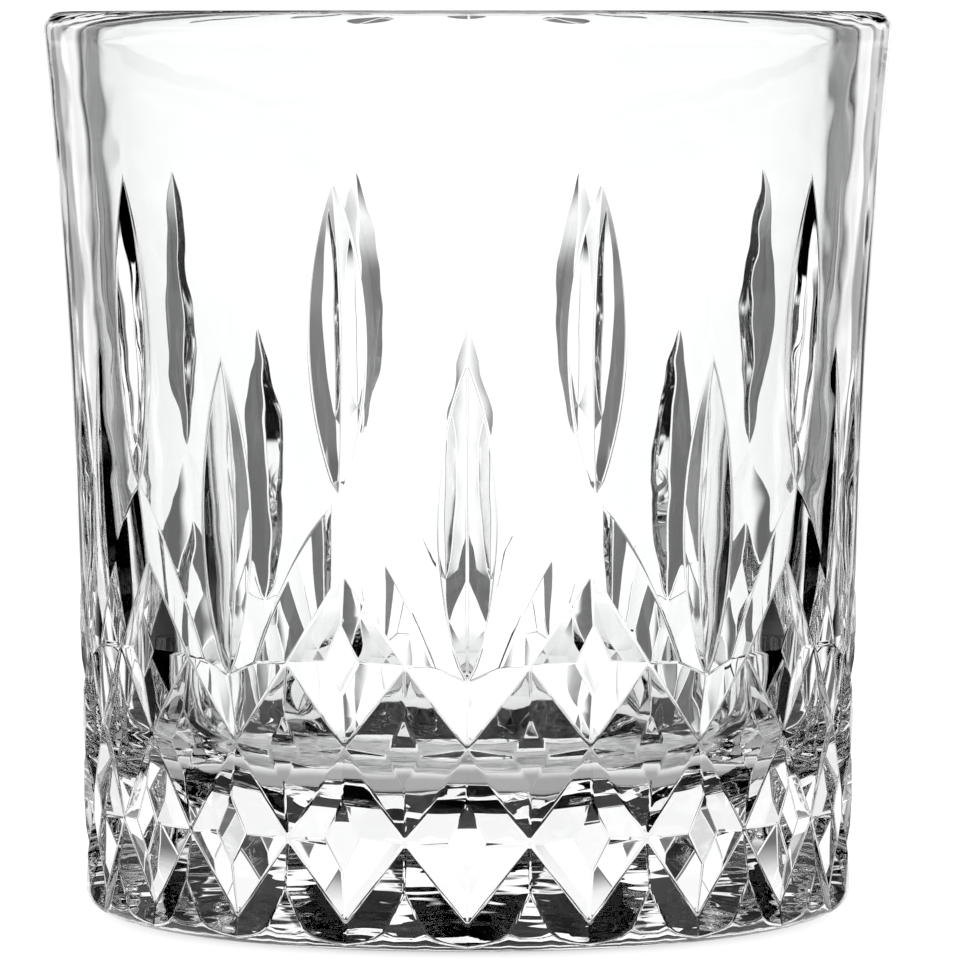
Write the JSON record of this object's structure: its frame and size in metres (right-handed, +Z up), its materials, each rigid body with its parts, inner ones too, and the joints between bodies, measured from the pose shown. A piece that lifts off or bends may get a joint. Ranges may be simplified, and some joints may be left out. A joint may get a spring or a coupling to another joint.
{
  "type": "whiskey tumbler",
  "caption": "Heavy-based pressed clear glass tumbler with slim lens cuts above a band of faceted diamonds, open at the top with a rounded rim.",
  "frame": {"origin": "centre of the resting plane under the foot", "axes": "+Z up the tumbler's axis towards the open rim; -Y through the middle of one low lens cut"},
  "size_m": [0.0844, 0.0844, 0.0893],
  "materials": {
    "clear_glass": "clear colourless soda-lime glass, fire polished"
  },
  "bodies": {
    "root": {"tumbler_glass": "clear_glass"}
  },
  "joints": []
}
